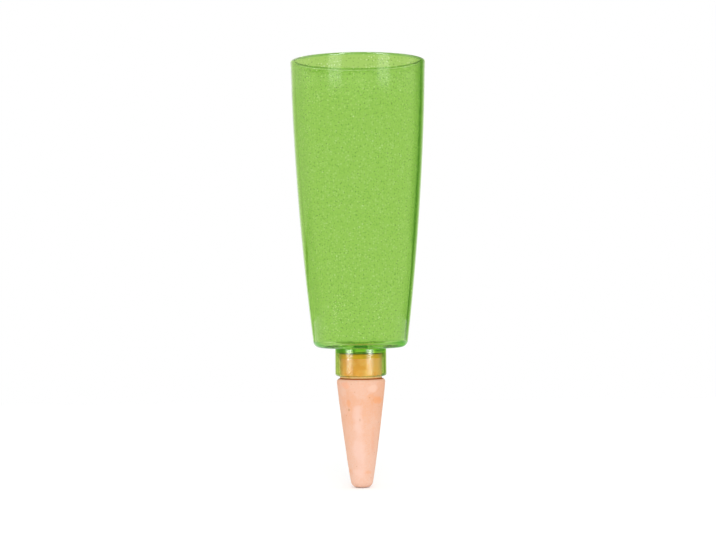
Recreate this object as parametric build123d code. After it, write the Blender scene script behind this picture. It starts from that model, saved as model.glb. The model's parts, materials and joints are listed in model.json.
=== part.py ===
from build123d import *

import os
from math import cos, radians, sin, sqrt

# Self watering spike. Millimetres and degrees, +Z up along the axis of the spike.
# The origin is on the axis at the lower end of the neck, where the soil comes up to.

# Reservoir: an open cup whose side swells gently, with a neck under its floor
RIM_DIAMETER = 75.0
RESERVOIR_HEIGHT = 160.0
WALL = 2.4
FLOOR = 2.6
FOOT_DIAMETER = 44.9
FOOT_RADIUS = 4.0
INNER_FOOT_RADIUS = 2.0
FOOT_LEAN = 7.0

# Floor of the reservoir: a shallow funnel that leads the last water to the outlet
FUNNEL_DIAMETER = 20.0
FUNNEL_FALL = 2.2
OUTLET_DIAMETER = 9.5

# Neck: a short tube that holds the clay cone
NECK_DIAMETER = 28.6
NECK_LENGTH = 15.8
NECK_ROOT_RADIUS = 0.6
SOCKET_DIAMETER = 24.4
SOCKET_DEPTH = 13.0
LIP_RADIUS = 1.2
LIP_CHAMFER = 0.4

# Clay cone: a hollow porous cone with a narrower spigot that stands in the neck
SPIGOT_CLEARANCE = 0.5
SPIGOT_EDGE_RADIUS = 0.6
SHOULDER_GAP = 1.3
SHOULDER_DIAMETER = 27.8
SHOULDER_RADIUS = 1.9
CONE_LENGTH = 61.0
CONE_BULGE = 0.4
TIP_DIAMETER = 11.9
TIP_RADIUS = 3.8
CAVITY_MOUTH_DIAMETER = 17.0
CAVITY_END_DIAMETER = 6.4
CAVITY_END_RADIUS = 2.0
TIP_THICKNESS = 7.0

# Bond: the sealing bead that holds the top of the spigot in the socket
BOND_FILM = 0.4
BOND_DEPTH = 3.0

# Levels along the axis, from the neck's lower end
LIP_Z = 0.0
CEILING_Z = LIP_Z + SOCKET_DEPTH
UNDERSIDE_Z = LIP_Z + NECK_LENGTH
FLOOR_Z = UNDERSIDE_Z + FLOOR
RIM_Z = UNDERSIDE_Z + RESERVOIR_HEIGHT
SPIGOT_TOP_Z = CEILING_Z - BOND_FILM
SHOULDER_Z = LIP_Z - SHOULDER_GAP
TIP_Z = SHOULDER_Z - CONE_LENGTH
CAVITY_END_Z = TIP_Z + TIP_THICKNESS

# Radii that more than one piece uses
SOCKET_R = SOCKET_DIAMETER / 2
SPIGOT_R = SOCKET_R - SPIGOT_CLEARANCE
CAVITY_MOUTH_R = CAVITY_MOUTH_DIAMETER / 2


def turned(outline):
    """Solid turned about the Z axis from a closed outline drawn in (radius, height)."""
    return revolve(Plane.XZ * make_face(outline), axis=Axis.Z)


def side_circle():
    """Centre and radius of the arc along the middle of the reservoir's side wall.

    The arc leaves the rounded foot at the foot's lean and ends in the middle of the rim.
    """
    lean = radians(FOOT_LEAN)
    outward = Vector(cos(lean), -sin(lean))
    foot_centre = Vector(FOOT_DIAMETER / 2, UNDERSIDE_Z + FOOT_RADIUS)
    start = foot_centre + outward * (FOOT_RADIUS - WALL / 2)
    rim_centre = Vector(RIM_DIAMETER / 2 - WALL / 2, RIM_Z - WALL / 2)
    chord = rim_centre - start
    radius = -chord.dot(chord) / (2 * chord.dot(outward))
    return start - outward * radius, radius


def water_reservoir():
    """See-through cup, floor and neck, moulded in one piece."""
    centre, middle_radius = side_circle()
    outer_radius = middle_radius + WALL / 2
    inner_radius = middle_radius - WALL / 2

    # Where the outer side leaves the foot, and both sides reach the round rim
    foot_centre = Vector(FOOT_DIAMETER / 2, UNDERSIDE_Z + FOOT_RADIUS)
    rim_centre = Vector(RIM_DIAMETER / 2 - WALL / 2, RIM_Z - WALL / 2)
    side_start = centre + (foot_centre - centre).normalized() * outer_radius
    to_rim = (rim_centre - centre).normalized()
    side_end = centre + to_rim * outer_radius
    inside_start = centre + to_rim * inner_radius

    # The inner foot touches the floor and the inner side
    inner_foot_z = FLOOR_Z + INNER_FOOT_RADIUS
    reach = inner_radius - INNER_FOOT_RADIUS
    inner_foot_x = centre.X + sqrt(reach**2 - (inner_foot_z - centre.Y) ** 2)
    inner_foot_centre = Vector(inner_foot_x, inner_foot_z)
    inside_end = centre + (inner_foot_centre - centre).normalized() * inner_radius

    neck_r = NECK_DIAMETER / 2
    outlet_r = OUTLET_DIAMETER / 2
    underside = Line((neck_r + NECK_ROOT_RADIUS, UNDERSIDE_Z), (foot_centre.X, UNDERSIDE_Z))
    foot = TangentArc(underside @ 1, side_start, tangent=underside % 1)
    side = TangentArc(foot @ 1, side_end, tangent=foot % 1)
    rim = TangentArc(side @ 1, inside_start, tangent=side % 1)
    inside = TangentArc(rim @ 1, inside_end, tangent=rim % 1)
    inner_foot = TangentArc(inside @ 1, (inner_foot_x, FLOOR_Z), tangent=inside % 1)
    floor_and_socket = Polyline(
        inner_foot @ 1,
        (FUNNEL_DIAMETER / 2, FLOOR_Z),
        (outlet_r, FLOOR_Z - FUNNEL_FALL),
        (outlet_r, CEILING_Z),
        (SOCKET_R, CEILING_Z),
        (SOCKET_R, LIP_Z + LIP_CHAMFER),
        (SOCKET_R + LIP_CHAMFER, LIP_Z),
        (neck_r - LIP_RADIUS, LIP_Z),
    )
    lip = TangentArc(floor_and_socket @ 1, (neck_r, LIP_Z + LIP_RADIUS), tangent=(1, 0))
    neck = Line(lip @ 1, (neck_r, UNDERSIDE_Z - NECK_ROOT_RADIUS))
    root = TangentArc(neck @ 1, underside @ 0, tangent=neck % 1)
    return turned([underside, foot, side, rim, inside, inner_foot, floor_and_socket, lip, neck, root])


def clay_cone():
    """Hollow clay cone with its spigot, open at the top of the spigot."""
    shoulder_corner = (SHOULDER_DIAMETER / 2, SHOULDER_Z)
    tip_corner = (TIP_DIAMETER / 2, TIP_Z)
    spigot_corner = (SPIGOT_R, SPIGOT_TOP_Z)
    cavity_corner = (CAVITY_END_DIAMETER / 2, CAVITY_END_Z)
    spigot = Polyline(
        (CAVITY_MOUTH_R, SPIGOT_TOP_Z),
        spigot_corner,
        (SPIGOT_R, SHOULDER_Z),
        shoulder_corner,
    )
    side = SagittaArc(shoulder_corner, tip_corner, CONE_BULGE)
    inside = Polyline(
        tip_corner,
        (0, TIP_Z),
        (0, CAVITY_END_Z),
        cavity_corner,
        (CAVITY_MOUTH_R, SPIGOT_TOP_Z),
    )
    section = make_face([spigot, side, inside])
    for corner, radius in (
        (spigot_corner, SPIGOT_EDGE_RADIUS),
        (shoulder_corner, SHOULDER_RADIUS),
        (tip_corner, TIP_RADIUS),
        (cavity_corner, CAVITY_END_RADIUS),
    ):
        section = fillet(section.vertices().sort_by_distance(corner)[0], radius)
    return revolve(Plane.XZ * section, axis=Axis.Z)


def bond_ring():
    """Sealing bead: a film over the spigot's top and a collar round its upper end."""
    collar_z = CEILING_Z - BOND_DEPTH
    edge = SPIGOT_EDGE_RADIUS
    film = Polyline(
        (CAVITY_MOUTH_R, SPIGOT_TOP_Z),
        (CAVITY_MOUTH_R, CEILING_Z),
        (SOCKET_R, CEILING_Z),
        (SOCKET_R, collar_z),
        (SPIGOT_R, collar_z),
        (SPIGOT_R, SPIGOT_TOP_Z - edge),
    )
    over_edge = TangentArc(film @ 1, (SPIGOT_R - edge, SPIGOT_TOP_Z), tangent=(0, 1))
    under_film = Line(over_edge @ 1, film @ 0)
    return turned([film, over_edge, under_film])


os.makedirs("parts", exist_ok=True)
for make_piece in (water_reservoir, clay_cone, bond_ring):
    piece = make_piece()
    export_step(piece, f"parts/{make_piece.__name__}.step")
    print(f"{make_piece.__name__}: {piece.volume / 1000:.2f} cm3")
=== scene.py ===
"""Looks of the self watering spike: a bubbled green cup, a fired clay cone and the bead that seals them."""

import functools
import json
import logging
import math
from dataclasses import dataclass, field, fields
from enum import Enum
from typing import Any, Mapping, Sequence

import bpy
from mathutils import Matrix, Vector

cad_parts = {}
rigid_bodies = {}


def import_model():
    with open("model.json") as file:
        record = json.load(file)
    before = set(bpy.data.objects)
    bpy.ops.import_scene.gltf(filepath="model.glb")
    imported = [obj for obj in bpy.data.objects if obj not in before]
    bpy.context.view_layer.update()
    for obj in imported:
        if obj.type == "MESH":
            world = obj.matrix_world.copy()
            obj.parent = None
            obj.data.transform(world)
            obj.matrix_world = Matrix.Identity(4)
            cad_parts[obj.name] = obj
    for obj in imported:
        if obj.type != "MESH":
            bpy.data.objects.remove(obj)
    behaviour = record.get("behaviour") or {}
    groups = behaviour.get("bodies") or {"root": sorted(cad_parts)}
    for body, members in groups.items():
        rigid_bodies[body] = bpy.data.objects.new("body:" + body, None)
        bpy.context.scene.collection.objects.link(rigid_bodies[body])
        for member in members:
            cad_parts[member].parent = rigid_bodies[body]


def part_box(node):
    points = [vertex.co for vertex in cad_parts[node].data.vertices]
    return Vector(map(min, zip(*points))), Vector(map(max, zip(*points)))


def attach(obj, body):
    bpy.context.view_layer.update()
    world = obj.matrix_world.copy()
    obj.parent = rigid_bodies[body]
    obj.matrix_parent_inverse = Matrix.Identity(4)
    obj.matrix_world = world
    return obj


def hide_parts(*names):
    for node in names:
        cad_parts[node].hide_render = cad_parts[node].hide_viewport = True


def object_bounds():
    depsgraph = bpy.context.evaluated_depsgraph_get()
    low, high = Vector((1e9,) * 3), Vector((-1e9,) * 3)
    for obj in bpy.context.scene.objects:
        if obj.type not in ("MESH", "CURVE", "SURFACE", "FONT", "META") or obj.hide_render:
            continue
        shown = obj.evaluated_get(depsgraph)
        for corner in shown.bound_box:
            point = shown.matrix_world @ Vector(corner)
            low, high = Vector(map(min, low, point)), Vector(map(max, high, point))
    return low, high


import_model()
CAD_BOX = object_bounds()

LOG = logging.getLogger("watering_spike")
BODY = "root"
MM = 0.001

Socket = bpy.types.NodeSocket
Colour = tuple[float, float, float]
Span = tuple[float, float]
BLACK: Colour = (0.0, 0.0, 0.0)
WHITE: Colour = (1.0, 1.0, 1.0)
# Most of a noise lies between these levels.
NOISE_RANGE: Span = (0.3, 0.7)


@dataclass(frozen=True)
class ZoneFinish:
    """What one zone of a turned surface carries to its material.

    Attributes:
        tint: strength of the dye on the plastic, or of the spigot's painted light on the clay.
        deep: strength of the deep green on the plastic, which inside the rim is painted shade,
        or of the painted green light in the hollow on the clay.
        neck: 1 on the neck's wall, which is dyed in its own way.
        gloss: strength of the polish.
        filled: 1 where the wall holds bubbles, or where the surface has relief.
        matt: roughness of a see-through surface.
        corner: 1 on the foot's thick corner, which is a deeper green where it is seen at a slant,
        partly painted shade.
    """

    tint: float = 0.0
    deep: float = 0.0
    neck: float = 0.0
    gloss: float = 0.0
    filled: float = 0.0
    matt: float = 0.0
    corner: float = 0.0


ZONE_FIELDS = tuple(item.name for item in fields(ZoneFinish))


class Zone(Enum):
    """Stretches of a turned outline that take the finish in their own way.

    PLAIN is the inside of the cup and of its socket, and the whole bead.
    """

    PLAIN = ZoneFinish()
    CUP_OUTSIDE = ZoneFinish(tint=1.0, filled=1.0)
    RIM = ZoneFinish(tint=0.35, gloss=1.0)
    # Painted shade: the deep green inside the rim darkens the far rim's line.
    RIM_INSIDE = ZoneFinish(tint=1.0, deep=0.4, matt=0.5)
    UNDERSIDE = ZoneFinish(tint=0.4)
    FOOT = ZoneFinish(tint=1.0, corner=1.0)
    CEILING = ZoneFinish(tint=0.2, deep=0.2)
    OUTLET = ZoneFinish(tint=0.2)
    NECK_ROOT = ZoneFinish(neck=1.0, deep=1.0, gloss=0.65)
    NECK = ZoneFinish(neck=1.0, gloss=0.42)
    CLAY = ZoneFinish(filled=1.0)
    SPIGOT = ZoneFinish(tint=1.0)
    CAVITY = ZoneFinish(deep=1.0)


class Graph:
    """A node tree that is filled by short calls."""

    def __init__(self, tree: bpy.types.NodeTree) -> None:
        """Keeps the tree to fill."""
        self.tree = tree

    def fill(self, node: bpy.types.Node, inputs: Mapping[Any, Any]) -> bpy.types.Node:
        """Fills a node's inputs.

        Args:
            node: the node to fill.
            inputs: values or sockets for the inputs, by name or place. Plain colours have no alpha.

        Returns:
            The node.
        """
        for key, value in inputs.items():
            socket = node.inputs[key]
            if isinstance(value, bpy.types.NodeSocket):
                self.tree.links.new(value, socket)
            else:
                socket.default_value = (*value, 1.0) if socket.type == "RGBA" else value
        return node

    def add(self, kind: str, inputs: Mapping[Any, Any] | None = None, **settings: Any) -> bpy.types.Node:
        """Adds a node, sets its options and fills its inputs.

        Args:
            kind: the node's type name.
            inputs: values or sockets for the inputs, by name or place.
            settings: options of the node itself.

        Returns:
            The new node.
        """
        node = self.tree.nodes.new(kind)
        for name, value in settings.items():
            setattr(node, name, value)
        return self.fill(node, inputs or {})

    def geo(self, kind: str, *inputs: Mapping[Any, Any], **settings: Any) -> Socket:
        """Adds a geometry node and gives its first output."""
        return self.add(f"GeometryNode{kind}", *inputs, **settings).outputs[0]

    def shade(self, kind: str, *inputs: Mapping[Any, Any], **settings: Any) -> Socket:
        """Adds a shader node and gives its first output."""
        return self.add(f"ShaderNode{kind}", *inputs, **settings).outputs[0]

    def math(self, operation: str, *values: Any) -> Socket:
        """Adds a Math node for the operation."""
        return self.shade("Math", dict(enumerate(values)), operation=operation)

    def product(self, *values: Any) -> Socket:
        """Multiplies the values in turn."""
        return functools.reduce(functools.partial(self.math, "MULTIPLY"), values)

    def largest(self, *values: Any) -> Socket:
        """Takes the largest of the values."""
        return functools.reduce(functools.partial(self.math, "MAXIMUM"), values)

    def ramp(self, value: Socket, levels: Span, low: float = 0.0, high: float = 1.0) -> Socket:
        """Goes smoothly from low to high while the value goes from one level to the other."""
        inputs = {0: value, 1: levels[0], 2: levels[1], 3: low, 4: high}
        return self.shade("MapRange", inputs, interpolation_type="SMOOTHSTEP")

    def fall(self, value: Socket, levels: Span) -> Socket:
        """Goes smoothly from 1 to 0 while the value goes from one level to the other."""
        return self.ramp(value, levels, 1.0, 0.0)

    def mix_colour(self, factor: Any, first: Any, second: Any) -> Socket:
        """Mixes two colours, plain or linked."""
        return self.add("ShaderNodeMix", {0: factor, 6: first, 7: second}, data_type="RGBA").outputs[2]

    def bump(self, height: Socket, depth: float, strength: float) -> Socket:
        """Makes the normal of a surface with relief."""
        return self.shade("Bump", {"Height": height, "Distance": depth, "Strength": strength})

    def place(self) -> Any:
        """Reads the three coordinates on the piece, in metres."""
        place = self.add("ShaderNodeTexCoord").outputs["Object"]
        return self.add("ShaderNodeSeparateXYZ", {0: place}).outputs

    def zone(self, name: str) -> Socket:
        """Reads one of the zones' values from the piece's own attribute, in a material."""
        return self.add("ShaderNodeAttribute", attribute_name=name).outputs["Fac"]

    def named(self, name: str) -> Socket:
        """Reads a number that a geometry carries by name."""
        return self.geo("InputNamedAttribute", {"Name": name}, data_type="FLOAT")

    def store(self, shape: Socket, name: str, value: Any) -> Socket:
        """Stores a number on a geometry's points by name."""
        inputs = {"Geometry": shape, "Name": name, "Value": value}
        return self.geo("StoreNamedAttribute", inputs, data_type="FLOAT")

    def scaled(self, vector: Socket, length: Any) -> Socket:
        """Makes a vector longer or shorter."""
        return self.shade("VectorMath", {0: vector, "Scale": length}, operation="SCALE")


@dataclass
class Outline:
    """A line in (radius, height) that is turned about the axis, with a zone for every point.

    Attributes:
        points: radius and height of each point, in metres.
        zones: the zone of each point.
    """

    points: list[tuple[float, float]] = field(default_factory=list)
    zones: list[Zone] = field(default_factory=list)

    def to(self, zone: Zone, *points: Sequence[float]) -> "Outline":
        """Goes straight to each point in turn.

        Args:
            zone: zone of the points.
            points: radius and height of each point.

        Returns:
            The outline.
        """
        self.points.extend((radius, height) for radius, height in points)
        self.zones.extend([zone] * len(points))
        return self

    def run(self, zone: Zone, start: Vector, end: Vector, guard: float) -> "Outline":
        """Goes straight, with a guard point close to each end, so that roundings don't bend its shading."""
        step = (end - start).normalized() * guard
        return self.to(zone, start, start + step, end - step, end)

    def arc(
        self, zone: Zone, centre: Vector, radius: float, start: float, end: float, steps: int
    ) -> "Outline":
        """Follows an arc, both of its ends included.

        Args:
            zone: zone of the arc's points.
            centre: centre in (radius, height).
            radius: radius of the arc.
            start: angle of the first point, in radians.
            end: angle of the last point, in radians.
            steps: number of straight steps along it.

        Returns:
            The outline.
        """
        for step in range(steps + 1):
            angle = start + (end - start) * step / steps
            point = centre + radius * Vector((math.cos(angle), math.sin(angle)))
            self.to(zone, point)
        return self

    def rounded(
        self, zone: Zone, corner: Vector, before: Vector, after: Vector, radius: float, steps: int
    ) -> "Outline":
        """Rounds a corner between two straight runs.

        Args:
            zone: zone of the rounding.
            corner: the sharp corner.
            before: a point that the line comes from.
            after: a point that the line goes to.
            radius: radius of the rounding.
            steps: number of straight steps along it.

        Returns:
            The outline.
        """
        come = (before - corner).normalized()
        leave = (after - corner).normalized()
        half = come.angle(leave) / 2
        middle = (come + leave).normalized()
        centre = corner + middle * (radius / math.sin(half))
        first = corner + come * (radius / math.tan(half)) - centre
        last = corner + leave * (radius / math.tan(half)) - centre
        start = math.atan2(first.y, first.x)
        turn = (math.atan2(last.y, last.x) - start + math.pi) % (2 * math.pi) - math.pi
        return self.arc(zone, centre, radius, start, start + turn, steps)

    def mesh(self, name: str) -> bpy.types.Mesh:
        """Makes a mesh of the points alone, with the zones' values as attributes.

        Args:
            name: name of the mesh.

        Returns:
            The new mesh.
        """
        mesh = bpy.data.meshes.new(name)
        mesh.from_pydata([(radius, 0.0, height) for radius, height in self.points], [], [])
        for value in ZONE_FIELDS:
            layer = mesh.attributes.new(value, "FLOAT", "POINT")
            layer.data.foreach_set("value", [getattr(zone.value, value) for zone in self.zones])
        return mesh


@dataclass(frozen=True)
class TurnedForm:
    """Settings of the geometry that turns an outline about the Z axis.

    Attributes:
        segments: number of flats around the axis.
        relief: depth of the uneven surface where a zone is filled.
        relief_size: width of its dents.
        bubbles_apart: least distance between bubbles, 0 for none.
        bubble_depth: shallowest and deepest bubble under the surface.
        bubble_radius: smallest and largest bubble.
        seed: seed of everything random.
    """

    segments: int = 192
    relief: float = 0.0
    relief_size: float = 4 * MM
    bubbles_apart: float = 0.0
    bubble_depth: Span = (0.6 * MM, 1.8 * MM)
    bubble_radius: Span = (0.14 * MM, 0.34 * MM)
    seed: int = 7


class TurnedTree:
    """Geometry nodes that turn an outline, roughen it and set bubbles in its wall.

    Attributes:
        WELD: distance below which points of the seam become one.
        SHARP_ANGLE: bend from which an edge is shaded sharp.
        DENSEST: most bubbles to a square metre, before those too close together are left out.
        SMALL_BUBBLES: power over 1 that makes small bubbles more common than large ones.
        RELIEF_NOISE: look of the noise that makes the dents.
    """

    WELD = 0.002 * MM
    SHARP_ANGLE = math.radians(32)
    DENSEST = 400000.0
    SMALL_BUBBLES = 1.3
    RELIEF_NOISE = {"Detail": 3.0, "Roughness": 0.55}

    def __init__(self) -> None:
        """Builds the tree once, for every turned piece."""
        self.tree = bpy.data.node_groups.new("turned_piece", "GeometryNodeTree")
        self.ids: dict[str, str] = {}
        self.graph = Graph(self.tree)
        self._sockets()
        self._nodes()

    def _sockets(self) -> None:
        """Names the tree's inputs and its output."""
        sizes = ("Relief", "Relief Size", "Bubbles Apart", "Shallow", "Deep", "Small", "Large")
        kinds = {"Outline": "Geometry", "Segments": "Int", "Seed": "Int"}
        kinds |= dict.fromkeys(sizes, "Float") | dict.fromkeys(("Surface", "Bubble"), "Material")
        face = self.tree.interface
        for name, kind in kinds.items():
            socket = face.new_socket(name=name, in_out="INPUT", socket_type=f"NodeSocket{kind}")
            self.ids[name] = socket.identifier
        face.new_socket(name="Piece", in_out="OUTPUT", socket_type="NodeSocketGeometry")

    def _nodes(self) -> None:
        """Fills the tree from its inputs to its output."""
        g = self.graph
        given = g.add("NodeGroupInput").outputs
        turned = self._turn(given)
        uneven = self._roughen(given, turned)
        bubbles = self._bubbles(given, uneven)
        joined = g.add("GeometryNodeJoinGeometry")
        self.tree.links.new(bubbles, joined.inputs[0])
        self.tree.links.new(uneven, joined.inputs[0])
        real = g.geo("RealizeInstances", {0: joined.outputs[0]})
        dressed = g.geo("SetMaterial", {0: real, 2: given["Surface"]})
        inputs = {0: dressed, 1: g.math("GREATER_THAN", g.named("bubble"), 0.5), 2: given["Bubble"]}
        dressed = g.geo("SetMaterial", inputs)
        g.add("NodeGroupOutput", {0: dressed})

    def _turn(self, given: Any) -> Socket:
        """Bends a grid round the axis along the outline and welds its seam.

        Args:
            given: the tree's input sockets.

        Returns:
            The turned surface.
        """
        g = self.graph
        outline = given["Outline"]
        count = g.geo("AttributeDomainSize", {0: outline}, component="MESH")
        columns = g.math("ADD", given["Segments"], 1)
        size = {"Size X": 1.0, "Size Y": 1.0, "Vertices X": columns, "Vertices Y": count}
        grid = g.geo("MeshGrid", size)
        index = g.geo("InputIndex")
        place = g.math("MODULO", index, count)
        column = g.math("FLOOR", g.math("DIVIDE", index, count))
        angle = g.math("DIVIDE", g.math("MULTIPLY", column, math.tau), given["Segments"])
        position = g.geo("InputPosition")
        inputs = {"Geometry": outline, "Value": position, "Index": place}
        sampled = g.geo("SampleIndex", inputs, data_type="FLOAT_VECTOR")
        parts = g.add("ShaderNodeSeparateXYZ", {0: sampled}).outputs
        across = g.math("MULTIPLY", parts[0], g.math("COSINE", angle))
        along = g.math("MULTIPLY", parts[0], g.math("SINE", angle))
        point = g.shade("CombineXYZ", {0: across, 1: along, 2: parts[2]})
        shape = g.geo("SetPosition", {"Geometry": grid, "Position": point})
        for name in ZONE_FIELDS:
            inputs = {"Geometry": outline, "Value": g.named(name), "Index": place}
            value = g.geo("SampleIndex", inputs, data_type="FLOAT")
            shape = g.store(shape, name, value)
        welded = g.geo("MergeByDistance", {"Geometry": shape, "Distance": self.WELD})
        smooth = g.geo("SetShadeSmooth", {0: welded, 2: True}, domain="FACE")
        bend = g.geo("InputMeshEdgeAngle")
        sharp = g.math("GREATER_THAN", bend, self.SHARP_ANGLE)
        return g.geo("SetShadeSmooth", {0: smooth, 1: sharp, 2: False}, domain="EDGE")

    def _roughen(self, given: Any, shape: Socket) -> Socket:
        """Presses shallow dents into the filled zones, always inwards.

        Args:
            given: the tree's input sockets.
            shape: the turned surface.

        Returns:
            The uneven surface.
        """
        g = self.graph
        scale = g.math("DIVIDE", 1.0, given["Relief Size"])
        noise = g.shade("TexNoise", {"Scale": scale, **self.RELIEF_NOISE})
        depth = g.product(noise, given["Relief"], g.named("filled"))
        offset = g.scaled(g.geo("InputNormal"), g.product(depth, -1.0))
        return g.geo("SetPosition", {"Geometry": shape, "Offset": offset})

    def _bubbles(self, given: Any, shape: Socket) -> Socket:
        """Sets small hollow bubbles under the filled zones.

        Args:
            given: the tree's input sockets.
            shape: the surface that they lie under.

        Returns:
            The bubbles, with their faces towards their own insides.
        """
        g = self.graph
        seed = given["Seed"]
        apart = given["Bubbles Apart"]
        wanted = g.product(g.named("filled"), g.math("GREATER_THAN", apart, 0.0))
        inputs = {
            "Mesh": shape,
            "Selection": g.math("GREATER_THAN", wanted, 0.5),
            "Distance Min": apart,
            "Density Max": self.DENSEST,
            "Seed": seed,
        }
        spread = g.add("GeometryNodeDistributePointsOnFaces", inputs, distribute_method="POISSON").outputs
        inputs = {2: given["Shallow"], 3: given["Deep"], "Seed": g.math("ADD", seed, 1)}
        depth = g.add("FunctionNodeRandomValue", inputs, data_type="FLOAT").outputs[1]
        inward = g.scaled(spread[1], g.product(depth, -1.0))
        seats = g.geo("SetPosition", {"Geometry": spread[0], "Offset": inward})
        inputs = {2: 0.0, 3: 1.0, "Seed": g.math("ADD", seed, 2)}
        chance = g.add("FunctionNodeRandomValue", inputs, data_type="FLOAT").outputs[1]
        share = g.math("POWER", chance, self.SMALL_BUBBLES)
        span = g.math("SUBTRACT", given["Large"], given["Small"])
        radius = g.math("MULTIPLY_ADD", share, span, given["Small"])
        ball = g.geo("MeshIcoSphere", {"Radius": 1.0, "Subdivisions": 1})
        inputs = {"Points": seats, "Instance": ball, "Rotation": spread[2], "Scale": radius}
        instances = g.geo("InstanceOnPoints", inputs)
        real = g.geo("RealizeInstances", {0: instances})
        hollow = g.geo("FlipFaces", {0: real})
        smooth = g.geo("SetShadeSmooth", {0: hollow, 2: True}, domain="FACE")
        return g.store(smooth, "bubble", 1.0)

    def make(
        self, name: str, outline: Outline, form: TurnedForm, surface: Any, bubble: Any
    ) -> bpy.types.Object:
        """Turns an outline into a plain mesh object.

        Args:
            name: name of the piece.
            outline: the line to turn.
            form: settings of the form.
            surface: material of the surface.
            bubble: material of the bubbles.

        Returns:
            The finished object, at the origin.
        """
        piece = bpy.data.objects.new(name, outline.mesh(f"{name}_outline"))
        bpy.context.scene.collection.objects.link(piece)
        modifier = piece.modifiers.new("turned", "NODES")
        modifier.node_group = self.tree
        values = {
            "Segments": form.segments,
            "Relief": form.relief,
            "Relief Size": form.relief_size,
            "Bubbles Apart": form.bubbles_apart,
            "Shallow": form.bubble_depth[0],
            "Deep": form.bubble_depth[1],
            "Small": form.bubble_radius[0],
            "Large": form.bubble_radius[1],
            "Seed": form.seed,
            "Surface": surface,
            "Bubble": bubble,
        }
        for key, value in values.items():
            modifier[self.ids[key]] = value
        graph = bpy.context.evaluated_depsgraph_get()
        mesh = bpy.data.meshes.new_from_object(piece.evaluated_get(graph), depsgraph=graph)
        mesh.name = name
        piece.modifiers.clear()
        piece.data = mesh
        return piece


def new_material(name: str) -> tuple[bpy.types.Material, Graph, bpy.types.Node, bpy.types.Node]:
    """Starts a material with a Principled shader.

    Args:
        name: name of the material.

    Returns:
        The material, its graph, its shader and its output.
    """
    material = bpy.data.materials.new(name)
    material.use_nodes = True
    material.node_tree.nodes.clear()
    graph = Graph(material.node_tree)
    output = graph.add("ShaderNodeOutputMaterial")
    shader = graph.add("ShaderNodeBsdfPrincipled")
    material.node_tree.links.new(shader.outputs[0], output.inputs["Surface"])
    return material, graph, shader, output


class ShaderGroup:
    """A shader group over the piece's own coordinates, built once and placed in each material."""

    def __init__(self, name: str, inputs: tuple[str, ...], outputs: tuple[str, ...]) -> None:
        """Opens the group with its sockets.

        Args:
            name: name of the group.
            inputs: names of its inputs, the last of which shifts the pattern.
            outputs: names of its outputs.
        """
        self.tree = bpy.data.node_groups.new(name, "ShaderNodeTree")
        self.inputs = inputs
        self.outputs = outputs
        for way, names in (("INPUT", inputs), ("OUTPUT", outputs)):
            for socket in names:
                self.tree.interface.new_socket(name=socket, in_out=way, socket_type="NodeSocketFloat")
        self.graph = Graph(self.tree)
        self.given = self.graph.add("NodeGroupInput").outputs
        place = self.graph.add("ShaderNodeTexCoord").outputs["Object"]
        shifted = {0: place, 1: self.given[inputs[-1]]}
        self.moved = self.graph.shade("VectorMath", shifted, operation="ADD")

    def put(self, graph: Graph, *values: float) -> list[Socket]:
        """Puts the group into a material, with a value for each input, and gives its outputs."""
        node = graph.add("ShaderNodeGroup", dict(zip(self.inputs, values)), node_tree=self.tree)
        return [node.outputs[name] for name in self.outputs]


class MottleGroup(ShaderGroup):
    """Soft cloudy patches and a fine grain, each about 0 to 1, by the width of a patch and of a grain."""

    ROUGHNESS = 0.6
    DETAIL = {"Patches": 3.0, "Grain": 2.0}

    def __init__(self) -> None:
        """Builds the group once, for every finish."""
        super().__init__("mottle", ("Patch Size", "Grain Size", "Shift"), ("Patches", "Grain"))
        g = self.graph
        results = {}
        for name, size in zip(self.outputs, self.inputs):
            scale = g.math("DIVIDE", 1.0, self.given[size])
            inputs = {"Scale": scale, "Detail": self.DETAIL[name], "Roughness": self.ROUGHNESS}
            results[name] = g.shade("TexNoise", {"Vector": self.moved, **inputs})
        g.add("NodeGroupOutput", results)


class SpeckGroup(ShaderGroup):
    """Small separate dots, some light and some dark, by their spacing and their share of it."""

    SHARPNESS = 2.0
    LIGHT_FROM = 0.55
    DARK_TO = 0.45

    def __init__(self) -> None:
        """Builds the group once, for every finish."""
        super().__init__("specks", ("Spacing", "Dot", "Shift"), ("Light", "Dark"))
        g = self.graph
        inputs = {"Vector": self.moved, "Scale": g.math("DIVIDE", 1.0, self.given["Spacing"])}
        cells = g.add("ShaderNodeTexVoronoi", inputs).outputs
        near = g.math("DIVIDE", cells["Distance"], self.given["Dot"])
        dot = g.math("SUBTRACT", 1.0, g.math("MINIMUM", near, 1.0))
        soft = g.math("MINIMUM", g.product(dot, self.SHARPNESS), 1.0)
        kind = g.shade("SeparateColor", {0: cells["Color"]})
        light = g.product(soft, g.math("GREATER_THAN", kind, self.LIGHT_FROM))
        dark = g.product(soft, g.math("LESS_THAN", kind, self.DARK_TO))
        g.add("NodeGroupOutput", {"Light": light, "Dark": dark})


@dataclass
class Effects:
    """The shader groups that the finishes share."""

    mottle: MottleGroup = field(default_factory=MottleGroup)
    specks: SpeckGroup = field(default_factory=SpeckGroup)


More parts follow.
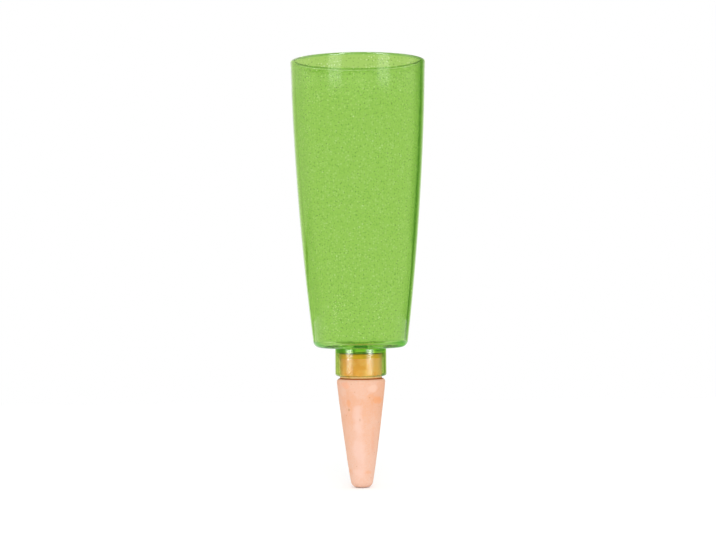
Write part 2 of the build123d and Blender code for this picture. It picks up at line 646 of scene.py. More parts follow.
@dataclass(frozen=True)
class BubbledPlastic:
    """Clear green plastic. Each colour is what a look in and out through the outside leaves of white.

    Attributes:
        dye: colour of the cup.
        deep: colour of the solid root of the neck, and painted shade on the inside of the rim.
        corner: colour of the foot's thick corner, the deeper green of thick plastic and partly painted
            shade.
        corner_level: heights between which that colour comes in, wherever it is seen from.
        corner_low: share of it below them.
        corner_slant: slants of the look between which it comes in fully.
        neck_front: colour of the neck's wall where it is looked at squarely.
        neck_edge: colour of the neck's wall where the look runs along inside it.
        neck_slant: slants of the look between which one passes into the other.
        dark_speck: colour of the darker specks.
        pale_speck: colour of the paler specks, painted glints of the lamps in the bubbles.
        speck_cover: share of the dye that a speck hides.
        specks_apart: distance between specks.
        speck_share: radius of a speck as a share of that distance.
        ior: refractive index.
        polish_level: heights between which the outside begins to be polished.
        polish: strength of that polish.
        polish_blur: roughness of the polish.
        ripple: height of the fine ripples of the surface.
        ripple_size: width of the ripples.
        shifts: offsets of the specks and of the ripples.
    """

    dye: Colour = (0.312, 0.582, 0.099)
    deep: Colour = (0.19, 0.55, 0.02)
    corner: Colour = (0.06, 0.42, 0.01)
    corner_level: Span = (20 * MM, 17 * MM)
    corner_low: float = 0.15
    corner_slant: Span = (0.35, 0.65)
    neck_front: Colour = (1.0, 0.80, 0.385)
    neck_edge: Colour = (0.16, 0.32, 0.016)
    neck_slant: Span = (0.2, 0.5)
    dark_speck: Colour = (0.04, 0.26, 0.0)
    pale_speck: Colour = (0.78, 0.95, 0.62)
    speck_cover: float = 0.55
    specks_apart: float = 1.4 * MM
    speck_share: float = 0.32
    ior: float = 1.5
    polish_level: Span = (152 * MM, 164 * MM)
    polish: float = 0.5
    polish_blur: float = 0.15
    ripple: float = 0.02 * MM
    ripple_size: float = 5.0 * MM
    shifts: Span = (2.0, 3.0)

    def make(self, effects: Effects) -> bpy.types.Material:
        """Builds the material.

        Args:
            effects: the shared shader groups.

        Returns:
            The new material.
        """
        material, g, shader, _ = new_material("bubbled_green_plastic")
        light, dark = effects.specks.put(g, self.specks_apart, self.speck_share, self.shifts[0])
        # The paler specks are painted glints of the lamps in the bubbles.
        colour = g.mix_colour(g.product(light, self.speck_cover), self.dye, self.pale_speck)
        colour = g.mix_colour(g.product(dark, self.speck_cover), colour, self.dark_speck)
        colour = g.mix_colour(g.zone("tint"), WHITE, colour)
        slant = g.add("ShaderNodeLayerWeight", {"Blend": 0.5}).outputs["Facing"]
        neck = g.mix_colour(g.ramp(slant, self.neck_slant), self.neck_front, self.neck_edge)
        colour = g.mix_colour(g.zone("neck"), colour, neck)
        colour = g.mix_colour(g.zone("deep"), colour, self.deep)
        height = g.place()[2]
        # The foot's deeper green is partly the green of thick plastic and partly painted shade.
        low = g.ramp(height, self.corner_level, 0.0, self.corner_low)
        thick_and_painted_shade = g.largest(low, g.ramp(slant, self.corner_slant))
        colour = g.mix_colour(g.product(thick_and_painted_shade, g.zone("corner")), colour, self.corner)
        upper = g.ramp(height, self.polish_level, 0.0, self.polish)
        coat = g.largest(g.zone("gloss"), g.product(upper, g.zone("filled")))
        patches, _ = effects.mottle.put(g, self.ripple_size, self.ripple_size, self.shifts[1])
        inputs = {
            "Base Color": colour,
            "Transmission Weight": 1.0,
            "IOR": self.ior,
            "Specular Tint": BLACK,
            "Roughness": g.zone("matt"),
            "Coat Weight": coat,
            "Coat Roughness": self.polish_blur,
            "Normal": g.bump(patches, self.ripple, 1.0),
        }
        g.fill(shader, inputs)
        return material


@dataclass(frozen=True)
class AirBubble:
    """The skin of an air bubble in the plastic.

    Attributes:
        ior: refractive index of the plastic around it.
        veil: colour that one bubble leaves of white, where it is darkest.
        cloud_size: width of the clouds of darker and clearer bubbles.
        shift: offset of the clouds.
    """

    ior: float = 1.5
    veil: Colour = (0.78, 0.92, 0.60)
    cloud_size: float = 6 * MM
    shift: float = 9.0

    def make(self, effects: Effects) -> bpy.types.Material:
        """Builds the material.

        Args:
            effects: the shared shader groups.

        Returns:
            The new material.
        """
        material, g, shader, _ = new_material("air_bubble")
        patches, _ = effects.mottle.put(g, self.cloud_size, self.cloud_size, self.shift)
        colour = g.mix_colour(patches, self.veil, WHITE)
        inputs = {"Base Color": colour, "Transmission Weight": 1.0, "IOR": self.ior, "Roughness": 0.0}
        g.fill(shader, inputs)
        return material


@dataclass(frozen=True)
class ClaySpot:
    """A patch on the front of the cone.

    Attributes:
        across: place of its middle to the right of the axis.
        height: level of its middle.
        wide: half its width.
        high: half its height.
        colour: colour at its middle.
        cover: share of the clay's own colour that it hides there.
        BREAK: how far the noise moves the border, in and out.
        FADE: where the patch thins out and ends, as squares of its half size.
    """

    across: float
    height: float
    wide: float
    high: float
    colour: Colour
    cover: float

    BREAK = (0.5, -0.3)
    FADE = (0.1, 1.0)

    def mask(self, g: Graph, place: Any, noise: Socket) -> Socket:
        """Makes the share of the patch at each place, with an uneven border.

        Args:
            g: the graph of the clay's material.
            place: the three coordinates on the piece.
            noise: noise about 0.5 that breaks the border.

        Returns:
            The share, which is nothing on the back of the cone.
        """
        aside = g.math("DIVIDE", g.math("SUBTRACT", place[0], self.across), self.wide)
        above = g.math("DIVIDE", g.math("SUBTRACT", place[2], self.height), self.high)
        reach = g.math("ADD", g.product(aside, aside), g.product(above, above))
        broken = g.math("ADD", reach, g.ramp(noise, NOISE_RANGE, *self.BREAK))
        return g.product(g.ramp(broken, self.FADE, self.cover, 0.0), g.math("LESS_THAN", place[1], 0.0))


@dataclass(frozen=True)
class FiredClay:
    """Unglazed fired clay, mottled and slightly pitted.

    Attributes:
        body: main colour.
        pale: colour of the paler clouds and of the cone's lower part.
        pale_level: heights between which the cone gets paler.
        warm: colour of the orange patches and of the grain.
        stain: painted light on the spigot inside the neck, a lighter, yellower clay colour for the strong
            light
        that it gets there.
        stain_deep: colour of its darker patches.
        hollow: painted light on the cavity's wall, the green of the light that comes through the plastic
        above it.
        crease: colour of the pores and of a painted shadow line under the neck, where the lip shades the
            shoulder.
        crease_level: level of the shoulder, where that painted shadow is darkest.
        crease_half: half the height of that painted shadow line.
        patch_size: width of the pale clouds.
        cloud_size: width of the orange patches.
        grain_size: width of the grain.
        pores_apart: distance between pores.
        pore_share: radius of a pore as a share of that distance.
        covers: share of the colour below that pale clouds, orange patches, grain and pores hide.
        levels: levels of the noise between which pale clouds, orange patches, grain and the spigot's darker
            patches
        come in.
        shifts: offsets of the pale clouds, of the orange patches and of the pores.
        roughness: roughness in the grain's hollows and on its tops.
        shine: strength of the mirror reflection.
        pit: depth of the pits in the grain.
        pit_strength: strength of their shading.
        spots: patches and stains on the front.
    """

    body: Colour = (0.89, 0.49, 0.325)
    pale: Colour = (0.91, 0.595, 0.465)
    pale_level: Span = (-8 * MM, -58 * MM)
    warm: Colour = (0.90, 0.42, 0.21)
    stain: Colour = (1.0, 0.725, 0.33)
    stain_deep: Colour = (0.93, 0.55, 0.17)
    hollow: Colour = (0.55, 1.0, 0.65)
    crease: Colour = (0.46, 0.12, 0.012)
    crease_level: float = -1.3 * MM
    crease_half: float = 0.5 * MM
    patch_size: float = 14 * MM
    cloud_size: float = 9 * MM
    grain_size: float = 0.7 * MM
    pores_apart: float = 2.6 * MM
    pore_share: float = 0.16
    covers: tuple[float, float, float, float] = (0.6, 0.5, 0.3, 0.4)
    levels: tuple[Span, Span, Span, Span] = ((0.42, 0.62), (0.58, 0.72), (0.35, 0.65), (0.45, 0.65))
    shifts: tuple[float, float, float] = (1.0, 5.0, 4.0)
    roughness: Span = (0.95, 0.8)
    shine: float = 0.25
    pit: float = 0.08 * MM
    pit_strength: float = 0.6
    spots: tuple[ClaySpot, ...] = (
        ClaySpot(-1.5 * MM, -36 * MM, 4.6 * MM, 28 * MM, (0.95, 0.63, 0.52), 0.7),
        ClaySpot(6.5 * MM, -36 * MM, 1.8 * MM, 9 * MM, (0.90, 0.45, 0.29), 0.5),
        ClaySpot(6.6 * MM, -6.3 * MM, 3.8 * MM, 2.4 * MM, (0.97, 0.62, 0.47), 0.7),
        ClaySpot(9.6 * MM, -13 * MM, 3.2 * MM, 2.8 * MM, (0.93, 0.40, 0.18), 0.8),
        ClaySpot(-7.0 * MM, -14.6 * MM, 1.5 * MM, 2.4 * MM, (0.92, 0.41, 0.20), 0.7),
        ClaySpot(-8.8 * MM, -4.6 * MM, 3.2 * MM, 2.6 * MM, (0.95, 0.45, 0.27), 0.6),
        ClaySpot(-6.8 * MM, -18.3 * MM, 0.7 * MM, 0.9 * MM, (0.60, 0.29, 0.13), 0.6),
        ClaySpot(-0.8 * MM, -23.8 * MM, 0.8 * MM, 1.2 * MM, (0.72, 0.39, 0.25), 0.5),
    )

    def make(self, effects: Effects) -> bpy.types.Material:
        """Builds the material.

        Args:
            effects: the shared shader groups.

        Returns:
            The new material.
        """
        material, g, shader, _ = new_material("fired_clay")
        clouded, warmed, grained, pitted = self.covers
        pale_from, warm_from, grain_from, spigot_patch_from = self.levels
        patches, grain = effects.mottle.put(g, self.patch_size, self.grain_size, self.shifts[0])
        clouds, _ = effects.mottle.put(g, self.cloud_size, self.grain_size, self.shifts[1])
        place = g.place()
        pale = g.largest(g.ramp(patches, pale_from, 0.0, clouded), g.ramp(place[2], self.pale_level))
        colour = g.mix_colour(pale, self.body, self.pale)
        colour = g.mix_colour(g.ramp(clouds, warm_from, 0.0, warmed), colour, self.warm)
        colour = g.mix_colour(g.ramp(grain, grain_from, grained, 0.0), colour, self.warm)
        _, pores = effects.specks.put(g, self.pores_apart, self.pore_share, self.shifts[2])
        colour = g.mix_colour(g.product(pores, pitted), colour, self.crease)
        for spot in self.spots:
            colour = g.mix_colour(spot.mask(g, place, clouds), colour, spot.colour)
        # Painted light: the spigot inside the neck gets a lighter, yellower clay colour for the strong
        # light on it.
        stain = g.mix_colour(g.ramp(clouds, spigot_patch_from), self.stain, self.stain_deep)
        colour = g.mix_colour(g.zone("tint"), colour, stain)
        # Painted light: the cavity's wall takes the green of the light that comes through the plastic.
        colour = g.mix_colour(g.zone("deep"), colour, self.hollow)
        # Painted shadow: a dark ring at the shoulder, where the neck's lip shades it.
        away = g.math("ABSOLUTE", g.math("SUBTRACT", place[2], self.crease_level))
        crease = g.fall(away, (self.crease_half / 2, self.crease_half))
        inputs = {
            "Base Color": g.mix_colour(crease, colour, self.crease),
            "Roughness": g.ramp(grain, NOISE_RANGE, *self.roughness),
            "Specular IOR Level": self.shine,
            "Normal": g.bump(grain, self.pit, self.pit_strength),
        }
        g.fill(shader, inputs)
        return material


@dataclass(frozen=True)
class CuredSealant:
    """Amber sealing bead, satin and slightly uneven.

    Attributes:
        body: main colour.
        deep: colour of its darker patches.
        edge: painted shade along its top edge, a dark green.
        edge_level: heights between which that painted shade comes in.
        patch_size: width of the patches.
        patch_from: levels of the noise between which they come in.
        grain_size: width of the grain.
        roughness: roughness in the grain's hollows and on its tops.
        shift: offset of the patches and the grain.
    """

    body: Colour = (0.88, 0.66, 0.02)
    deep: Colour = (0.68, 0.55, 0.015)
    edge: Colour = (0.05, 0.09, 0.003)
    edge_level: Span = (12.2 * MM, 12.6 * MM)
    patch_size: float = 4 * MM
    patch_from: Span = (0.35, 0.7)
    grain_size: float = 0.8 * MM
    roughness: Span = (0.35, 0.5)
    shift: float = 13.0

    def make(self, effects: Effects) -> bpy.types.Material:
        """Builds the material.

        Args:
            effects: the shared shader groups.

        Returns:
            The new material.
        """
        material, g, shader, _ = new_material("cured_sealant")
        patches, grain = effects.mottle.put(g, self.patch_size, self.grain_size, self.shift)
        colour = g.mix_colour(g.ramp(patches, self.patch_from), self.body, self.deep)
        # Painted shade: a dark green band along the bead's top edge.
        colour = g.mix_colour(g.ramp(g.place()[2], self.edge_level), colour, self.edge)
        g.fill(shader, {"Base Color": colour, "Roughness": g.ramp(grain, NOISE_RANGE, *self.roughness)})
        return material


class TurnedPiece:
    """A piece that is turned from one outline and stands for one solid.

    Attributes:
        piece: name of the piece.
        node: the solid that it stands for.
        finish: name of its finish slot, which is not used.
        form: settings of its form.
    """

    piece: str
    node: str
    finish: str
    form: TurnedForm

    def outline(self) -> Outline:
        """Draws the line to turn, which each kind of piece does in its own way."""
        raise NotImplementedError

    def build(self, tree: TurnedTree, surface: Any, bubble: Any = None) -> bpy.types.Object:
        """Builds the piece and lets it ride on the body in the place of its solid.

        Args:
            tree: geometry that turns outlines.
            surface: material of the surface.
            bubble: material of the bubbles, where the piece has any.

        Returns:
            The finished piece.
        """
        piece = tree.make(self.piece, self.outline(), self.form, surface, bubble or surface)
        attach(piece, BODY)
        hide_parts(self.node)
        return piece


@dataclass
class WaterReservoir(TurnedPiece):
    """The see-through cup with its floor and neck, one moulding.

    Sizes are in metres. The rim and the neck's lower end come from the frame.
    """

    piece: str = "reservoir_moulding"
    node: str = "water_reservoir"
    finish: str = "reservoir_plastic"
    wall: float = 2.4 * MM
    floor: float = 2.6 * MM
    foot_radius: float = 22.45 * MM
    foot_round: float = 4.0 * MM
    inner_foot_round: float = 2.0 * MM
    foot_lean: float = math.radians(7.0)
    funnel_radius: float = 10.0 * MM
    funnel_fall: float = 2.2 * MM
    outlet_radius: float = 4.75 * MM
    neck_radius: float = 14.3 * MM
    neck_length: float = 15.8 * MM
    root_round: float = 0.6 * MM
    socket_radius: float = 12.2 * MM
    socket_depth: float = 13.0 * MM
    lip_round: float = 1.2 * MM
    lip_chamfer: float = 0.4 * MM
    ceiling_fade: float = 1.2 * MM
    guard: float = 0.2 * MM
    side_steps: int = 72
    foot_steps: int = 12
    round_steps: int = 8
    root_steps: int = 6
    form: TurnedForm = TurnedForm(segments=192, bubbles_apart=2.0 * MM)

    def outline(self) -> Outline:
        """Draws the outline, outside going up and inside coming down.

        Returns:
            The closed outline.
        """
        low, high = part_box(self.node)
        lip, rim, rim_radius = low.z, high.z, high.x
        underside = lip + self.neck_length
        floor = underside + self.floor
        ceiling = lip + self.socket_depth

        outward = Vector((math.cos(self.foot_lean), -math.sin(self.foot_lean)))
        foot = Vector((self.foot_radius, underside + self.foot_round))
        top = Vector((rim_radius - self.wall / 2, rim - self.wall / 2))
        start = foot + outward * (self.foot_round - self.wall / 2)
        chord = top - start
        middle = -chord.dot(chord) / (2 * chord.dot(outward))
        centre = start - outward * middle
        at_top = math.atan2(top.y - centre.y, top.x - centre.x)
        inner = middle - self.wall / 2
        inner_foot_z = floor + self.inner_foot_round
        reach = math.sqrt((inner - self.inner_foot_round) ** 2 - (inner_foot_z - centre.y) ** 2)
        inner_foot = Vector((centre.x + reach, inner_foot_z))
        at_inner_foot = math.atan2(inner_foot.y - centre.y, inner_foot.x - centre.x)
        right = math.pi / 2

        guard = self.guard
        nudge = guard / middle
        outer = middle + self.wall / 2
        line = Outline()
        root_end = Vector((self.neck_radius + self.root_round, underside))
        line.run(Zone.UNDERSIDE, root_end, Vector((foot.x, underside)), guard)
        line.arc(Zone.FOOT, foot, self.foot_round, -right, -self.foot_lean, self.foot_steps)
        line.arc(Zone.CUP_OUTSIDE, centre, outer, nudge - self.foot_lean, at_top - nudge, self.side_steps)
        line.arc(Zone.RIM, top, self.wall / 2, at_top, at_top + right, self.round_steps)
        line.arc(Zone.RIM_INSIDE, top, self.wall / 2, at_top + right, at_top + math.pi, self.round_steps)
        line.arc(Zone.PLAIN, centre, inner, at_top - nudge, at_inner_foot + nudge, self.side_steps)
        line.arc(Zone.PLAIN, inner_foot, self.inner_foot_round, at_inner_foot, -right, self.round_steps)
        line.run(Zone.PLAIN, Vector((inner_foot.x, floor)), Vector((self.funnel_radius, floor)), guard)
        line.to(Zone.OUTLET, (self.outlet_radius, floor - self.funnel_fall))
        line.to(Zone.CEILING, (self.outlet_radius, ceiling), (self.socket_radius, ceiling))
        line.to(Zone.PLAIN, (self.socket_radius, ceiling - self.ceiling_fade))
        line.to(Zone.PLAIN, (self.socket_radius, lip + self.lip_chamfer))
        line.to(Zone.PLAIN, (self.socket_radius + self.lip_chamfer, lip))
        lip_centre = Vector((self.neck_radius - self.lip_round, lip + self.lip_round))
        line.arc(Zone.NECK, lip_centre, self.lip_round, -right, 0.0, self.round_steps)
        line.to(Zone.NECK, (self.neck_radius, lip + self.lip_round + guard))
        line.to(Zone.NECK, (self.neck_radius, ceiling - self.root_round))
        line.to(Zone.NECK_ROOT, (self.neck_radius, ceiling + self.root_round))
        line.to(Zone.NECK_ROOT, (self.neck_radius, underside - self.root_round - guard))
        root = Vector((self.neck_radius + self.root_round, underside - self.root_round))
        line.arc(Zone.NECK_ROOT, root, self.root_round, math.pi, right, self.root_steps)
        line.to(Zone.UNDERSIDE, line.points[0])
        return line


@dataclass
class ClayCone(TurnedPiece):
    """The hollow clay cone with its spigot.

    Sizes are in metres. The tip and the spigot's top come from the frame.
    """

    piece: str = "porous_cone"
    node: str = "clay_cone"
    finish: str = "cone_clay"
    spigot_radius: float = 11.7 * MM
    spigot_round: float = 0.6 * MM
    shoulder_level: float = -1.3 * MM
    shoulder_radius: float = 13.9 * MM
    shoulder_round: float = 1.9 * MM
    bulge: float = 0.4 * MM
    tip_radius: float = 5.95 * MM
    tip_round: float = 3.8 * MM
    mouth_radius: float = 8.5 * MM
    cavity_end_radius: float = 3.2 * MM
    cavity_end_round: float = 2.0 * MM
    tip_thickness: float = 7.0 * MM
    side_steps: int = 24
    tip_steps: int = 10
    shoulder_steps: int = 8
    edge_steps: int = 4
    end_steps: int = 6
    form: TurnedForm = TurnedForm(segments=160, relief=0.35 * MM, relief_size=6 * MM)

    def outline(self) -> Outline:
        """Draws the outline from the tip up the outside and down the inside.

        Returns:
            The outline, with both ends on the axis.
        """
        low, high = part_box(self.node)
        tip, top = low.z, high.z
        shoulder = Vector((self.shoulder_radius, self.shoulder_level))
        corner = Vector((self.tip_radius, tip))
        neck = Vector((self.spigot_radius, self.shoulder_level))
        edge = Vector((self.spigot_radius, top))
        mouth = Vector((self.mouth_radius, top))
        end = Vector((self.cavity_end_radius, tip + self.tip_thickness))

        side = shoulder - corner
        across = Vector((side.y, -side.x)).normalized()
        line = Outline().to(Zone.CLAY, (0.0, tip))
        line.rounded(Zone.CLAY, corner, Vector((0.0, tip)), shoulder, self.tip_round, self.tip_steps)
        # The steps left out at either end lie within the roundings.
        for step in range(2, self.side_steps - 1):
            share = step / self.side_steps
            line.to(Zone.CLAY, corner + side * share + across * (4 * self.bulge * share * (1 - share)))
        line.rounded(Zone.CLAY, shoulder, corner, neck, self.shoulder_round, self.shoulder_steps)
        line.to(Zone.SPIGOT, neck)
        line.rounded(Zone.SPIGOT, edge, neck, mouth, self.spigot_round, self.edge_steps)
        line.to(Zone.CAVITY, mouth)
        axis = Vector((0.0, end.y))
        line.rounded(Zone.CAVITY, end, mouth, axis, self.cavity_end_round, self.end_steps)
        return line.to(Zone.CAVITY, axis)


@dataclass
class BondRing(TurnedPiece):
    """The sealing bead round the top of the spigot.

    Sizes are in metres. Its box comes from the frame, drawn in by a hair so that no faces meet.
    """

    piece: str = "sealing_bead"
    node: str = "bond_ring"
    finish: str = "bond_sealant"
    inner_radius: float = 8.5 * MM
    spigot_radius: float = 11.7 * MM
    film: float = 0.4 * MM
    hair: float = 0.04 * MM
    form: TurnedForm = TurnedForm(segments=128)

    def outline(self) -> Outline:
        """Draws the closed outline of the film and the collar.

        Returns:
            The outline.
        """
        low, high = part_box(self.node)
        outer, top, bottom = high.x - self.hair, high.z - self.hair, low.z
        inside = self.spigot_radius + self.hair
        under = high.z - self.film + self.hair
        line = Outline().to(Zone.PLAIN, (inside, bottom))
        line.to(Zone.PLAIN, (outer, bottom), (outer, top), (self.inner_radius, top))
        return line.to(Zone.PLAIN, (self.inner_radius, under), (inside, under), (inside, bottom))


def hang_lamp(name: str, size: Span, energy: float, place: Vector, towards: Vector) -> bpy.types.Object:
    """Hangs a rectangular lamp that the camera doesn't see.

    Args:
        name: name of the lamp.
        size: its width and height.
        energy: its power.
        place: its middle.
        towards: the way that it faces.

    Returns:
        The lamp's object.
    """
    light = bpy.data.lights.new(name, "AREA")
    light.shape = "RECTANGLE"
    light.size, light.size_y = size
    light.energy = energy
    lamp = bpy.data.objects.new(name, light)
    bpy.context.scene.collection.objects.link(lamp)
    lamp.location = place
    lamp.rotation_euler = towards.to_track_quat("-Z", "Y").to_euler()
    lamp.visible_camera = False
    return lamp


@dataclass(frozen=True)
class StripLamp:
    """A softbox that shows in polished surfaces only.

    Attributes:
        name: name of the lamp.
        bearing: angle from the camera's side, to the right, in degrees.
        distance: distance from the axis.
        width: width of the box.
        low: height of its lower edge.
        high: height of its upper edge.
        radiance: brightness straight ahead, where 1 is white.
        spread: angle over which the light fans out, in degrees.
    """

    name: str
    bearing: float
    distance: float
    width: float
    low: float
    high: float
    radiance: float
    spread: float = 180.0

    def build(self) -> None:
        """Adds the lamp, turned to the axis."""
        height = self.high - self.low
        half = math.radians(self.spread) / 2
        energy = self.radiance * math.pi * self.width * height * (1 - half / math.tan(half))
        angle = math.radians(self.bearing)
        out = Vector((math.sin(angle), -math.cos(angle), 0.0))
        place = out * self.distance + Vector((0.0, 0.0, (self.low + self.high) / 2))
        lamp = hang_lamp(self.name, (self.width, height), energy, place, -out)
        lamp.data.spread = 2 * half
        lamp.visible_diffuse = False
        lamp.visible_transmission = False


def ray_kinds(graph: Graph) -> tuple[Socket, Socket, Socket]:
    """Tells rays apart.

    Args:
        graph: graph of a material or of the world.

    Returns:
        1 for rays from the camera, for rays through glass, and for rays through glass or off a mirror.
    """
    path = graph.add("ShaderNodeLightPath").outputs
    camera, through = path["Is Camera Ray"], path["Is Transmission Ray"]
    return camera, through, graph.largest(path["Is Glossy Ray"], through)


@dataclass
class Studio:
    """White surroundings, floor, lamps and camera.

    The camera and matt surfaces see plain white. Glass and polish see a room, with bearings in degrees from
    straight behind the object, to the right, and heights in degrees above the level.

    Attributes:
        daylight: brightness of the surroundings for matt surfaces.
        backdrop_right: bearings between which the bright backdrop fades on the right.
        backdrop_left: bearings to the left between which it fades there.
        backdrop_top: heights between which it fades at the top.
        dim: colour of the room beside and above the backdrop.
        overhead: colour of the room high above.
        overhead_from: heights between which that colour comes in.
        dark: colour of the dark strip, of the skirt and of the room on the camera's side.
        dark_end: bearings between which the strip, which begins where the backdrop fades, ends.
        dark_top: heights between which it ends at the top.
        ahead_from: bearings on either side between which the room on the camera's side begins.
        skirt_top: heights between which a dark skirt at the left of the backdrop ends at the top.
        side_from: bearings on either side between which the room turns white again, through glass.
        side_top: heights between which that white ends at the top.
        ground_top: heights between which white ground ends at the top, through glass.
        strip_middle: bearing of the middle of a stretch of the strip that hangs below the ground's edge.
        strip_half: half widths between which that stretch ends.
        strip_foot: heights between which the ground turns white under it too.
        floor_white: brightness of the floor's own paint.
        tinge: colour of the painted green shade on the floor behind the object on the right, which only
            glass and polish show.
        tinge_edge: distances to the right and behind between which that painted shade comes in.
        tinge_reach: distances from the axis between which it fades.
        floor_side: side of the floor.
        camera_distance: distance of the camera from the axis.
        camera_height: height of the camera.
        camera_aside: shift of the camera to the right.
        camera_roll: turn of the camera about its own line of sight, in degrees.
        lens: focal length, in millimetres, on a sensor of the given width.
        sensor: width of the sensor, in millimetres.
        key_level: brightness that the front lamp gives a white surface facing it.
        key_side: side of the front lamp.
        key_place: place of the front lamp.
        lamps: softboxes that show in polished surfaces.
        bounces: how often light may bounce, in all and by kind.
    """

    daylight: float = 0.9
    backdrop_right: Span = (4.0, 36.0)
    backdrop_left: Span = (16.0, 30.0)
    backdrop_top: Span = (6.72, 6.82)
    dim: Colour = (0.70, 0.82, 0.45)
    overhead: Colour = (0.88, 0.96, 0.76)
    overhead_from: Span = (8.0, 12.0)
    dark: Colour = (0.17, 0.37, 0.07)
    dark_end: Span = (60.0, 75.0)
    dark_top: Span = (30.0, 45.0)
    ahead_from: Span = (90.0, 110.0)
    skirt_top: Span = (-2.65, -2.55)
    side_from: Span = (55.0, 70.0)
    side_top: Span = (15.0, 25.0)
    ground_top: Span = (-2.95, -2.85)
    strip_middle: float = 22.0
    strip_half: Span = (15.0, 17.0)
    strip_foot: Span = (-9.0, -8.5)
    floor_white: float = 0.9
    tinge: Colour = (0.44, 0.74, 0.40)
    tinge_edge: Span = (0.0, 0.09)
    tinge_reach: Span = (0.25, 0.42)
    floor_side: float = 1.2
    camera_distance: float = 0.934
    camera_height: float = 0.0589
    camera_aside: float = -0.00103
    camera_roll: float = -0.6
    lens: float = 84.2
    sensor: float = 36.0
    key_level: float = 0.26
    key_side: float = 1.2
    key_place: Vector = field(default_factory=lambda: Vector((0.08, -1.8, 0.9)))
    lamps: tuple[StripLamp, ...] = (
        StripLamp("left_softbox", -38.0, 0.55, 0.22, 0.17, 0.40, 4.4),
        StripLamp("right_softbox", 43.0, 0.55, 0.20, 0.17, 0.40, 4.4),
        StripLamp("high_left_softbox", -38.0, 0.55, 0.22, 0.40, 1.8, 12.0),
        StripLamp("high_right_softbox", 43.0, 0.55, 0.20, 0.40, 1.8, 12.0),
        StripLamp("low_left_softbox", -52.5, 0.15, 0.098, 0.0015, 0.016, 32.0, 40.0),
        StripLamp("low_right_softbox", 41.0, 0.15, 0.108, 0.0015, 0.016, 32.0, 40.0),
        StripLamp("left_skirt", -52.5, 0.15, 0.098, -0.012, 0.0015, 13.0, 40.0),
        StripLamp("right_skirt", 41.0, 0.15, 0.108, -0.012, 0.0015, 13.0, 40.0),
    )
    bounces: tuple[tuple[str, int], ...] = (("max", 160), ("transmission", 64), ("glossy", 128))

    def build(self) -> None:
        """Adds everything around the object."""
        scene = bpy.context.scene
        scene.view_settings.view_transform = "Standard"
        for kind, count in self.bounces:
            setattr(scene.cycles, f"{kind}_bounces", count)
        self._world(scene)
        self._floor()
        self._camera(scene)
        for lamp in self.lamps:
            lamp.build()
        self._key()

    def _world(self, scene: bpy.types.Scene) -> None:
        """Makes the surroundings: white to the eye and to matt surfaces, a room with a backdrop in glass.

        Args:
            scene: the scene that gets the world.
        """
        world = bpy.data.worlds.new("white_studio")
        world.use_nodes = True
        world.node_tree.nodes.clear()
        scene.world = world
        g = Graph(world.node_tree)
        camera, through, mirrored = ray_kinds(g)
        direction = g.add("ShaderNodeTexCoord").outputs["Generated"]
        parts = g.add("ShaderNodeSeparateXYZ", {0: direction}).outputs
        bearing = g.math("DEGREES", g.math("ARCTAN2", parts[0], parts[1]))
        rise = g.math("DEGREES", g.math("ARCSINE", parts[2]))
        turn = g.math("ABSOLUTE", bearing)

        right = g.fall(bearing, self.backdrop_right)
        left = g.fall(g.product(bearing, -1.0), self.backdrop_left)
        panel = g.product(right, left, g.fall(rise, self.backdrop_top))
        sides = g.product(g.ramp(turn, self.side_from), g.fall(rise, self.side_top))
        beside = g.ramp(g.math("ABSOLUTE", g.math("SUBTRACT", bearing, self.strip_middle)), self.strip_half)
        near = g.product(g.fall(rise, self.ground_top), beside)
        around = g.largest(sides, near, g.fall(rise, self.strip_foot))
        bright = g.largest(panel, g.product(around, through))
        plain = g.largest(bright, g.math("SUBTRACT", 1.0, mirrored))

        past = g.product(g.fall(bearing, self.dark_end), g.math("SUBTRACT", 1.0, right))
        strip = g.product(past, g.fall(rise, self.dark_top))
        skirt = g.product(g.math("SUBTRACT", 1.0, left), g.fall(rise, self.skirt_top))
        shade = g.largest(strip, skirt, g.ramp(turn, self.ahead_from))
        above = g.mix_colour(g.ramp(rise, self.overhead_from), self.dim, self.overhead)
        room = g.mix_colour(shade, above, self.dark)
        seen = g.ramp(g.largest(camera, mirrored), (0.0, 1.0), self.daylight, 1.0)
        back = g.shade("Background", {"Color": g.mix_colour(plain, room, WHITE), "Strength": seen})
        g.add("ShaderNodeOutputWorld", {"Surface": back})

    def _key(self) -> None:
        """Hangs a large soft lamp in front, for matt surfaces, which it reaches through the plastic too."""
        energy = self.key_level * math.pi ** 2 * self.key_place.length_squared
        size = (self.key_side, self.key_side)
        lamp = hang_lamp("key_softbox", size, energy, self.key_place, -self.key_place)
        lamp.visible_glossy = False

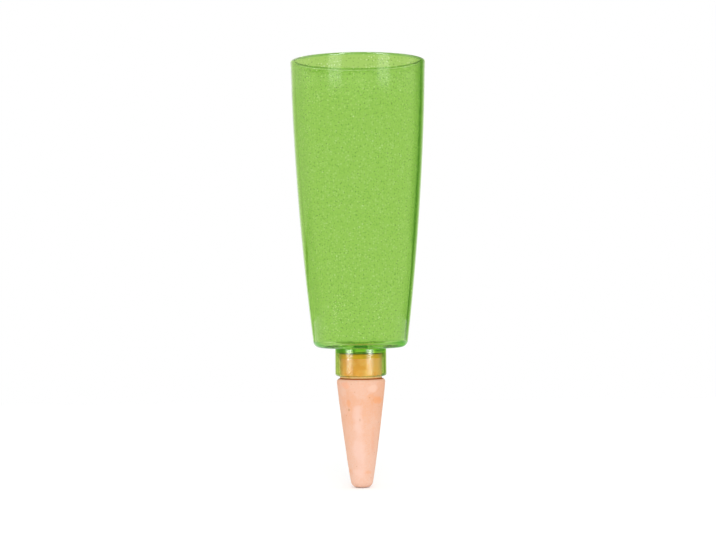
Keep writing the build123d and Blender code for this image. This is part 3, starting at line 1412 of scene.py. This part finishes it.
    def _floor(self) -> None:
        """Lays a pale floor under the tip; glass and polish see it unshadowed, with painted shade behind on
        the right.
        """
        low, _ = CAD_BOX
        half = self.floor_side / 2
        corners = [(-half, -half, low.z), (half, -half, low.z), (half, half, low.z), (-half, half, low.z)]
        mesh = bpy.data.meshes.new("floor")
        mesh.from_pydata(corners, [], [(0, 1, 2, 3)])
        floor = bpy.data.objects.new("floor", mesh)
        bpy.context.scene.collection.objects.link(floor)
        material, g, shader, output = new_material("pale_floor")
        paint = (self.floor_white,) * 3
        g.fill(shader, {"Base Color": paint, "Roughness": 1.0, "Specular IOR Level": 0.0})
        camera, _, mirrored = ray_kinds(g)
        missing = 1.0 - self.floor_white * self.daylight
        glow = g.shade("Emission", {"Strength": g.product(camera, missing)})
        both = g.shade("AddShader", {0: shader.outputs[0], 1: glow})
        place = g.place()
        squares = g.math("ADD", g.product(place[0], place[0]), g.product(place[1], place[1]))
        # Painted green shade on the floor behind the object on the right, which only glass and polish show.
        corner = g.product(g.ramp(place[0], self.tinge_edge), g.ramp(place[1], self.tinge_edge))
        painted_shade_share = g.product(corner, g.fall(g.math("SQRT", squares), self.tinge_reach))
        colour = g.mix_colour(painted_shade_share, WHITE, self.tinge)
        shown = g.shade("Emission", {"Color": colour, "Strength": 1.0})
        whole = g.shade("MixShader", {0: mirrored, 1: both, 2: shown})
        g.fill(output, {"Surface": whole})
        mesh.materials.append(material)

    def _camera(self, scene: bpy.types.Scene) -> None:
        """Sets the camera level at half the object's height, where the photograph was taken from.

        Args:
            scene: the scene that gets the camera.
        """
        data = bpy.data.cameras.new("camera")
        data.lens = self.lens
        data.sensor_width = self.sensor
        camera = bpy.data.objects.new("camera", data)
        scene.collection.objects.link(camera)
        level = Matrix.Rotation(math.radians(90), 4, "X")
        roll = Matrix.Rotation(math.radians(self.camera_roll), 4, "Z")
        place = Matrix.Translation((self.camera_aside, -self.camera_distance, self.camera_height))
        camera.matrix_world = place @ level @ roll
        scene.camera = camera


def main() -> None:
    """Builds the pieces, then the studio round them."""
    logging.basicConfig(level=logging.INFO, format="%(name)s: %(message)s")
    effects = Effects()
    tree = TurnedTree()
    pieces = [
        WaterReservoir().build(tree, BubbledPlastic().make(effects), AirBubble().make(effects)),
        ClayCone().build(tree, FiredClay().make(effects)),
        BondRing().build(tree, CuredSealant().make(effects)),
    ]
    for piece in pieces:
        LOG.info("%s has %d faces", piece.name, len(piece.data.polygons))
    Studio().build()


if __name__ == "__main__":
    main()
